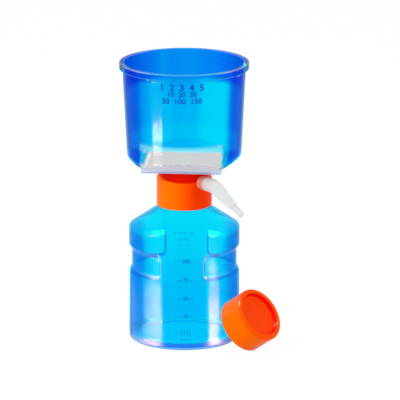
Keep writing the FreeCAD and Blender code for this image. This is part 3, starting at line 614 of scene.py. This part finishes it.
def funnel_material():
    """Blue clear plastic: deep at the upper back, clear low at the front over the tray, and
    deeper again on the four floor facets. Across the wall the tint changes in upright stripes,
    painted reflections of the surroundings. The rim's lines, the seams between the facets and
    the foot carry painted highlights."""
    made, graph = material("funnel_blue")
    x, y, z = graph.place()
    off_axis = graph.length(x, y)
    across, away = rotated(x, y, -TRAY_TURN)
    aside = abs(across)

    # the wall, darker where it is looked along, its tint across x in upright stripes that are
    # painted reflections of the surroundings
    upright = graph.smooth(z, 156, 161)
    middle = graph.ramp(x, wall_tint, [
        (-40, 0, 118, 236), (-32, 0, 156, 242), (-26, 0, 184, 246), (-12, 0, 188, 246),
        (-8, 0, 177, 244), (8, 0, 184, 244), (16, 0, 205, 248), (30, 0, 212, 250),
        (40, 0, 190, 248)])
    tint = graph.mix(graph.facing(0.30, 0.42), middle, wall_tint(0, 92, 224))
    tint = graph.mix(graph.facing(0.68, 0.84) * upright, tint, wall_tint(0, 26, 84))

    # the upper back, also in upright stripes of painted reflection, and a painted half shade that
    # leads down from it
    far = graph.smooth(y, -12, 8)
    upper = graph.ramp(x, wall_tint, [
        (-44, 0, 22, 200), (-34, 0, 40, 214), (-25, 0, 56, 226), (-17, 0, 72, 232),
        (-12, 0, 44, 232), (-8, 0, 42, 234), (0, 0, 54, 236), (18, 0, 64, 236),
        (25, 0, 64, 234), (33, 0, 46, 230), (44, 0, 28, 205)])
    tint = graph.mix(graph.smooth(z, 202, 209) * far, tint, upper)
    shade = graph.smooth(z, 182, 206) * far * graph.smooth(x, 22, 4) * graph.smooth(x, -26, -12)
    tint = graph.mix(shade * 0.5, tint, wall_tint(0, 100, 226))

    # the floor facets, paler where they are looked along
    facet = graph.smooth(off_axis, 45.6, 43.5) * graph.smooth(z, 158, 154)
    deep = graph.mix(graph.smooth(x, -30, 30), linear(0, 186, 244), linear(0, 206, 249))
    deep = graph.mix(graph.smooth(abs(x), 30, 38), deep, linear(0, 130, 234))
    tint = graph.mix(facet, tint, deep)
    along = (1 - upright) * graph.facing(0.82, 0.92)
    tint = graph.mix(along * 0.7, tint, (0.8, 0.95, 1.0, 1.0))

    # the window low at the front, the wall opposite it, and the lip that stands on the tray
    window = graph.smooth(z, 171, 167) * graph.smooth(y, -16, -26)
    window = window * graph.smooth(aside, 34.5, 31.5)
    tint = graph.mix(window, tint, (0.965, 0.965, 0.97, 1.0))
    behind = graph.smooth(z, 171, 164) * graph.smooth(y, 12, 20)
    tint = graph.mix(behind * 0.3, tint, (0.4, 0.97, 1.0, 1.0))
    back = graph.smooth(away, 24, 28)
    lip = graph.smooth(z, 149.8, 149.4)
    tint = graph.mix(lip, tint, (0.93, 0.95, 0.975, 1.0))
    tint = graph.mix(lip * back, tint, (0.2, 0.82, 0.97, 1.0))

    # painted highlights: lines on the rim band's two edges, the mouth's inner edge, the facets'
    # seams and the foot
    under_band = RIM_TOP - RIM_HEIGHT
    rim = graph.smooth(off_axis, WALL_TOP_RADIUS + 0.7, WALL_TOP_RADIUS + 1.5)
    lines = (graph.band(z, RIM_TOP - 0.5, RIM_TOP + 0.5, 0.3) * 0.62
             + graph.band(z, under_band - 0.5, under_band + 0.2, 0.3) * 0.5)
    inner = graph.band(off_axis, 48.2, 48.8, 0.3) * graph.smooth(z, RIM_TOP - 0.8, RIM_TOP - 0.2)
    reach = graph.maths("MAXIMUM", aside, abs(away)) - OPENING_HALF
    seam = graph.band(z - (MOUTH_BOTTOM + reach * FACET_SLOPE), -0.3, 0.4, 0.2)
    seam = seam * graph.smooth(y, 18, 22)
    seam = seam * graph.band(aside, 25, 31, 2) * graph.smooth(off_axis, 43.6, 44.3)
    foot = graph.smooth(z, 149.4, 149.2) * graph.smooth(z, 148.25, 148.35)
    sides = graph.smooth(abs(x), 20, 36) * 0.5 + 0.5
    painted_highlight = (lines * rim + inner * 0.4) * sides
    painted_highlight = painted_highlight + seam * 0.6 + foot * (1 - back) * 0.5
    # the painted highlights' colour: cyan at the front, grey-lilac and then dark grey towards the
    # band's two ends, and pale grey low on the facets
    painted_edge_colour = graph.ramp(abs(x), linear, [
        (0, 40, 172, 238), (22, 60, 180, 238), (34, 168, 204, 232), (42, 140, 165, 200),
        (53, 84, 92, 120)])
    painted_edge_colour = graph.mix(graph.smooth(z, 170, 160), painted_edge_colour, linear(206, 204, 216))
    graph.finish(clear_surface(graph, tint, 1.07, (0.6, 0.8, 1.0, 1.0), painted_highlight, painted_edge_colour))
    return made


def bottle_material():
    """Blue clear plastic: lighter on the cone shoulder and towards the right, with painted
    highlight lines along the grips' edges, painted shade along their lower ledges and ends,
    and a nearly colourless base."""
    made, graph = material("bottle_blue")
    x, y, z = graph.place()
    off_axis = graph.length(x, y)

    # wall and shoulder, darker where they are looked along
    wall = graph.smooth(z, 95, 90)
    middle = graph.ramp(z, wall_tint, [
        (0, 0, 190, 246), (30, 0, 182, 246), (52, 0, 194, 246), (72, 0, 204, 246),
        (90, 1, 219, 247), (110, 2, 214, 246)])
    side = graph.mix(graph.smooth(x, -25, 25), wall_tint(0, 136, 238), wall_tint(0, 176, 247))
    tint = graph.mix(graph.facing(0.27, 0.42) * wall, middle, side)
    tint = graph.mix(graph.facing(0.72, 0.85) * (1 - wall), tint, wall_tint(0, 116, 228))
    right = graph.smooth(x, 10, 26) * graph.facing(0.30, 0.55) * wall
    tint = graph.mix(right, tint, wall_tint(0, 122, 224))
    upright = graph.smooth(z, 5, 9)
    tint = graph.mix(graph.facing(0.70, 0.86) * upright, tint, wall_tint(0, 60, 160))

    # the base, and the front of its foot ring
    base = graph.smooth(z, 6, 4.6) * graph.smooth(off_axis, 44.4, 42)
    tint = graph.mix(base, tint, (0.80, 0.80, 0.99, 1.0))
    front = graph.smooth(y, -20, -36) * graph.smooth(z, 6.6, 5.2) * graph.smooth(off_axis, 40, 43)
    tint = graph.mix(front, tint, linear(40, 136, 238))

    # the distance inside a grip's panel, as grip_depth has it
    heading = graph.maths("ARCTAN2", y, x) * (180 / math.pi) + (450 - GRIP_TURN)
    off = abs(graph.maths("MODULO", heading, 180.0) - 90)
    reach = (GRIP_SWEEP / 2 - off) * math.radians(BOTTLE_RADIUS)
    across = (reach + GRIP_END_START) / GRIP_END
    ledge = graph.maths("MINIMUM", z - GRIP_LOW, GRIP_HIGH - z) / GRIP_LEDGE
    across_left = graph.maths("MAXIMUM", GRIP_ROUND - across, 0.0)
    ledge_left = graph.maths("MAXIMUM", GRIP_ROUND - ledge, 0.0)
    inside = GRIP_ROUND - graph.length(across_left, ledge_left)

    # painted shade along the grips' lower ledge and at their ends, and a painted highlight on the
    # brink of the push-up in the base
    painted_ledge_shade = graph.smooth(z, 63, 58) * graph.band(inside, 0.05, 0.6, 0.2)
    tint = graph.mix(painted_ledge_shade * 0.7, tint, wall_tint(0, 84, 214))
    painted_end_shade = graph.band(inside, 1.2, 1.6, 0.3) * graph.smooth(across, 2.0, 1.4)
    tint = graph.mix(painted_end_shade * 0.8, tint, wall_tint(0, 84, 206))
    painted_brink_highlight = graph.band(off_axis, 35.6, 37.6, 0.3) * graph.smooth(z, 6, 4.6)
    tint = graph.mix(painted_brink_highlight * 0.8, tint, (0.95, 1.0, 1.0, 1.0))

    # painted highlights: a line along the grips' edges, strongest at their ends, and a painted
    # lilac reflection on the heel's two sides
    near_end = graph.smooth(across, 2.6, 1.6)
    line = graph.band(inside, 0.15, 0.9, 0.15) * (near_end * 0.62 + 0.08)
    line = line * graph.smooth(z, 58, 62)
    heel = graph.smooth(z, 9, 1) * graph.smooth(abs(x + 1), 12, 30)
    painted_highlight = (line + heel * 0.45) * graph.smooth(off_axis, 40.0, 40.8)
    painted_reflection_colour = graph.mix(graph.smooth(x, -10, 20), linear(150, 168, 208), linear(140, 150, 220))
    painted_reflection_colour = graph.mix(graph.smooth(z, 20, 40), painted_reflection_colour, linear(128, 172, 222))
    graph.finish(clear_surface(graph, tint, 1.06, (0.8, 0.9, 1.0, 1.0), painted_highlight, painted_reflection_colour))
    return made


def tray_material():
    """Colourless clear plastic with painted highlights on its edges, painted bluish reflections on
    its front face, and a greyer back wall.
    """
    made, graph = material("tray_clear")
    x, y, z = graph.place()
    across, away = rotated(x, y, -TRAY_TURN)
    aside = abs(across)
    haze_and_highlight = graph.noise(60.0)
    tint = graph.mix(haze_and_highlight * 0.5, (0.985, 0.99, 1.0, 1.0), (0.96, 0.97, 0.99, 1.0))

    # the back wall, grey, with the funnel's blue painted along its top where the funnel shows in
    # it
    back = graph.smooth(away, 29.6, 30.2)
    tint = graph.mix(back, tint, (0.66, 0.67, 0.69, 1.0))
    tint = graph.mix(back * graph.smooth(z, 146.6, 147.4), tint, (0.3, 0.86, 0.98, 1.0))

    # painted highlights and reflections: the front face, most of all along its edges, its two
    # ends, and the sides' top edges
    front = graph.smooth(away, -31.6, -31.9)
    edges = graph.smooth(z, 147.4, 148.0) * 0.7 + graph.smooth(z, 145.3, 144.8) * 0.7
    ends = graph.smooth(aside, 31.2, 31.8) * graph.smooth(away, -30.5, -31.5)
    flank = graph.smooth(aside, 31.6, 31.9) * graph.smooth(z, 147.6, 148.1)
    painted_highlight = front * (edges + 0.6 * (1 - edges)) + ends * 0.6 + flank * 0.7
    colour = graph.mix(graph.smooth(z, 147.6, 147.0), linear(196, 190, 206), linear(166, 206, 234))
    colour = graph.mix(graph.smooth(z, 145.4, 144.9), colour, linear(176, 166, 196))
    graph.finish(clear_surface(graph, tint, 1.12, (1.0, 0.9, 0.95, 1.0), painted_highlight, colour))
    return made


def membrane_material():
    """White filter sheet with faint fine ribs, and a painted orange glow in a round patch that
    reaches in from the front, standing in for the collar's orange showing through."""
    made, graph = material("membrane_white")
    x, y, z = graph.place()
    rib_spacing, glow_y, glow_radius = 2.6, -50.3, 37
    turn = math.radians(TRAY_TURN)
    away = y * math.cos(turn) - x * math.sin(turn)
    ribs = graph.maths("SINE", away * (math.tau / rib_spacing)) * 0.5 + 0.5
    colour = graph.mix(ribs, linear(214, 212, 211), linear(226, 224, 222))
    # painted glow: the collar's orange coming through the sheet
    painted_glow = graph.smooth(graph.length(x, y - glow_y), glow_radius + 1, glow_radius - 1)
    colour = graph.mix(painted_glow * 0.7, colour, linear(228, 196, 192))
    graph.finish(graph.plastic(colour, 0.8, Specular_IOR_Level=0.2))
    return made


def collar_material():
    """Orange plastic with painted light, lighter orange towards the left front where the key lamp
    falls, and painted shade, dark red, on the band that stands back above the skirt under the
    tray.
    """
    made, graph = material("collar_orange")
    x, y, z = graph.place()
    # painted light: lighter orange towards the left front, where the key lamp falls
    side = graph.smooth(x * 0.85 + y * 0.3, -20, 4)
    colour = graph.mix(side, linear(255, 116, 0), linear(255, 58, 0))
    # painted shade: the band that stands back under the tray, dark red
    skirt_line = 134.2 + (x + 1) * (x + 1) * 0.0065
    colour = graph.mix(graph.smooth(z - skirt_line, -1.2, 0.6), colour, linear(236, 16, 0))
    graph.finish(orange_surface(graph, colour))
    return made


def cap_material():
    """Orange plastic, redder towards the top, with painted shade in the dish and darkest painted
    shade on the dish's wall, by the distance along the cap's leaning axis and off it."""
    made, graph = material("cap_orange")
    tilt, turn = math.radians(CAP_TILT), math.radians(CAP_AZIMUTH)
    start = (CAP_REACH * math.cos(turn), CAP_REACH * math.sin(turn), CAP_LIFT)
    axis = (math.cos(tilt) * math.cos(turn), math.cos(tilt) * math.sin(turn), math.sin(tilt))
    from_start = [part - begin for part, begin in zip(graph.place(), start)]
    along = sum(part * share for part, share in zip(from_start, axis))
    squared = sum(part * part for part in from_start) - along * along
    off = graph.maths("SQRT", graph.maths("MAXIMUM", squared, 0.0))
    # painted shade in the dish
    dish = graph.smooth(off, 18.9, 18.4) * graph.smooth(along, 15.5, 16.5)
    colour = graph.mix(graph.smooth(along, 18.5, 22), linear(255, 108, 0), linear(255, 84, 0))
    colour = graph.mix(dish, colour, linear(255, 70, 0))
    # darkest painted shade on the dish's wall
    wall = graph.band(off, 17.6, 19.2, 0.4) * graph.smooth(along, 22.2, 21.4)
    colour = graph.mix(wall, colour, linear(242, 14, 0))
    graph.finish(orange_surface(graph, colour))
    return made


def connector_material():
    """Milky translucent plastic, with pink painted where the orange stub's light would come
    through.
    """
    made, graph = material("connector_milky")
    x, y, z = graph.place()
    turn = math.radians(STUB_AZIMUTH)
    along = x * math.cos(turn) + y * math.sin(turn)
    # painted pink: the orange stub's light coming through
    colour = graph.mix(graph.smooth(along, 33, 28), linear(238, 240, 238), linear(252, 158, 136))
    end = graph.smooth(z, 111.5, 109.5)
    colour = graph.mix(end, colour, linear(200, 208, 236))
    surface = graph.plastic(colour, 0.4, Transmission_Weight=0.2, IOR=1.2)
    graph.finish(graph.blend(0.2, surface, graph.node("ShaderNodeBsdfTransparent")))
    return made


def ink_material(name, colour, clear):
    """Dark blue print, thin enough to let some of the plastic's colour through."""
    made, graph = material(name)
    paler = tuple(channel * 1.15 for channel in colour[:3]) + (1.0,)
    ink = graph.plastic(graph.mix(graph.noise(1500.0), colour, paler), 0.6, IOR=1.1)
    graph.finish(graph.blend(clear, ink, graph.node("ShaderNodeBsdfTransparent")))
    return made


def seal_material():
    """Off-white rubber."""
    made, graph = material("seal_rubber")
    colour = graph.mix(graph.noise(900.0), linear(205, 205, 200), linear(225, 224, 219))
    graph.finish(graph.plastic(colour, 0.7))
    return made


# ---------------------------------------------------------------- pieces


def paint(piece, surface):
    """Give a piece one material in place of what it had."""
    piece.data.materials.clear()
    piece.data.materials.append(surface)


def dress(piece, body, slot, surface, *replaced):
    """Give a piece its material, the body it moves with and the nodes it stands for. The slot is
    not used.
    """
    paint(piece, surface)
    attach(piece, body)
    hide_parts(*replaced)
    return piece


bottle = dress(make_bottle(), "receiver", "blue_clear", bottle_material(), "bottle")
funnel = dress(make_funnel(), "filter_head", "blue_clear", funnel_material(), "funnel")
orange_collar = collar_material()
dress(make_collar(), "filter_head", "orange", orange_collar, "collar")
dress(make_stub(), "filter_head", "orange", orange_collar, "collar")
cap = dress(make_cap(), "receiver", "orange", cap_material(), "cap")
dress(make_connector(), "connector", "milky", connector_material(), "hose_connector")

funnel_ink = ink_material("funnel_ink", linear(0, 50, 184), 0.2)
dress(make_print("funnel_scale", [
    ("1  2  3  4  5", 219.2, 7.6), ("10  20  30", 213.6, 5.8), ("50  100  150", 208.0, 6.4)],
    wall_radius, -92), "filter_head", None, funnel_ink)
bottle_ink = ink_material("bottle_ink", linear(0, 84, 200), 0.3)
dress(make_print("bottle_scale", [
    ("- - 100 - -", 74.9, 4.6), ("-- 75 --", 59.2, 4.2), ("-- 50 --", 43.7, 4.2),
    ("-- 25 --", 29.0, 3.8), ("| | | |", 15.5, 4.2), ("- - -", 10.0, 5.0)],
    bottle_radius, -88.5), "receiver", None, bottle_ink)
dress(make_print("bottle_scale_back", [
    ("- - - - - -", 75.3, 4.6), ("| | | | |", 70.1, 3.4), ("- - - -", 65.6, 4.0)],
    bottle_radius, 91), "receiver", None, bottle_ink)

paint(nodes["filter_base"], tray_material())
paint(nodes["membrane"], membrane_material())
paint(nodes["neck_seal"], seal_material())


# ---------------------------------------------------------------- floor, light and camera
# From here on lengths are metres.


def make_floor():
    """Wide pale floor just under the object: white to the eye, with a soft shadow on it."""
    reach, level, own_white = 12.0, -0.0002, 0.88
    mesh = bpy.data.meshes.new("floor")
    mesh.from_pydata([(-reach, -reach, level), (reach, -reach, level), (reach, reach, level),
                      (-reach, reach, level)], [], [(0, 1, 2, 3)])
    floor = bpy.data.objects.new("floor", mesh)
    bpy.context.scene.collection.objects.link(floor)
    made, graph = material("floor_white")
    painted_highlight = graph.node("ShaderNodeBsdfDiffuse", inputs={"Color": (0.86, 0.86, 0.86, 1.0)})
    white = graph.node("ShaderNodeEmission", inputs={"Color": (1, 1, 1, 1), "Strength": 1.04})
    graph.finish(graph.blend(graph.seen() * own_white, painted_highlight, white))
    mesh.materials.append(made)
    floor.visible_glossy = False
    floor.visible_shadow = False


def make_world():
    """White surroundings to the eye and in clear plastic, and even light on the object."""
    world = bpy.data.worlds.new("surroundings")
    bpy.context.scene.world = world
    graph = Graph(world)
    graph.finish(graph.node("ShaderNodeBackground", inputs={
        "Color": (1, 1, 1, 1), "Strength": graph.seen() * 0.3 + 0.7}), "ShaderNodeOutputWorld")


def polar(azimuth, distance, height):
    """Point at an azimuth and distance from the object's axis."""
    turn = math.radians(azimuth)
    return Vector((distance * math.cos(turn), distance * math.sin(turn), height))


def look_at(made, place, target):
    """Put a lamp or camera at its place and turn it towards a target."""
    made.location = place
    made.rotation_mode = "QUATERNION"
    made.rotation_quaternion = (target - place).to_track_quat("-Z", "Y")
    bpy.context.scene.collection.objects.link(made)


def linked(name, pieces):
    """Collection of the pieces that a lamp is linked to."""
    group = bpy.data.collections.new(name)
    for piece in pieces:
        group.objects.link(piece)
    return group


def soft_light(name, place, target, width, height, power):
    """Rectangular lamp that looks from its place at a target."""
    lamp = bpy.data.lights.new(name, "AREA")
    lamp.shape = "RECTANGLE"
    lamp.size, lamp.size_y, lamp.energy = width, height, power
    made = bpy.data.objects.new(name, lamp)
    look_at(made, place, target)
    made.visible_camera = False
    made.visible_transmission = False
    return made


def shine(name, piece, azimuth, half, low, high, strength, distance=0.5, blockers=()):
    """Upright lamp that only shows as a shine on one clear piece. It reaches half as many
    degrees to each side and from low to high, and its strength counts watts per square metre.
    Where blockers are given, nothing else stands in its way."""
    middle = (low + high) / 2
    width = 2 * distance * math.tan(math.radians(half))
    lamp = soft_light(name, polar(azimuth, distance, middle), polar(azimuth, 0, middle),
                      width, high - low, strength * width * (high - low))
    lamp.data.color = (1.0, 0.5, 0.4)
    lamp.visible_diffuse = False
    lamp.light_linking.receiver_collection = linked(name, [piece])
    lamp.light_linking.blocker_collection = linked(name + "_blockers", blockers)


def make_lights():
    """Soft key from the left front, a weaker fill from the right, and shine lamps. Upright
    walls mirror what lies below them to an eye above, so the walls' lamps stand low."""
    target = Vector((0, 0, 0.12))
    soft_light("key", polar(-140, 1.5, 1.1), target, 0.9, 0.9, 14)
    soft_light("fill", polar(-30, 1.6, 0.8), target, 0.9, 0.9, 5)
    shine("funnel_left", funnel, -142, 10, 0.0145, 0.036, 1700)
    shine("bottle_left_edge", bottle, -142.5, 6.4, -0.2, -0.074, 1700)
    shine("bottle_left", bottle, -155.2, 6.4, -0.2, -0.074, 900)
    shine("bottle_left_middle", bottle, -170.5, 7.5, -0.2, -0.078, 330)
    shine("bottle_left_side", bottle, -202, 23, -0.2, -0.092, 14)
    # the cap leans on this side and would stop these three, so their only blocker is the seal,
    # which is hidden between neck and collar
    seal = [nodes["neck_seal"]]
    shine("bottle_right_grip", bottle, -27, 10, -0.066, -0.05, 1500, blockers=seal)
    shine("bottle_right_high", bottle, -28.5, 11.5, -0.1115, -0.085, 3600, blockers=seal)
    shine("bottle_right_low", bottle, -27, 12.5, -0.1315, -0.114, 3000, blockers=seal)
    shine("glint_left", bottle, -165, 6, 0.55, 1.0, 6500, distance=1.2)
    shine("glint_right", bottle, -22, 5, 0.55, 1.0, 6500, distance=1.2)
    glint = soft_light("glint_cap", Vector((-0.11, -0.1, 1.1)), Vector((0.05, -0.04, 0.03)),
                       0.12, 0.12, 300)
    glint.visible_diffuse = False
    glint.light_linking.receiver_collection = linked("glint_cap", [cap])


def make_camera():
    """Camera a little above the object, looking along +Y and down at its middle."""
    distance, height, aim, aside = 3.5, 1.0116, 0.1147, 0.0128
    camera = bpy.data.objects.new("camera", bpy.data.cameras.new("camera"))
    camera.data.sensor_width = 36
    camera.data.lens = 400.023
    look_at(camera, Vector((aside, -distance, height)), Vector((aside, 0, aim)))
    bpy.context.scene.camera = camera


make_floor()
make_world()
make_lights()
make_camera()
bpy.context.scene.view_settings.view_transform = "Standard"
cycles = bpy.context.scene.cycles
cycles.max_bounces = cycles.transmission_bounces = cycles.glossy_bounces = 32
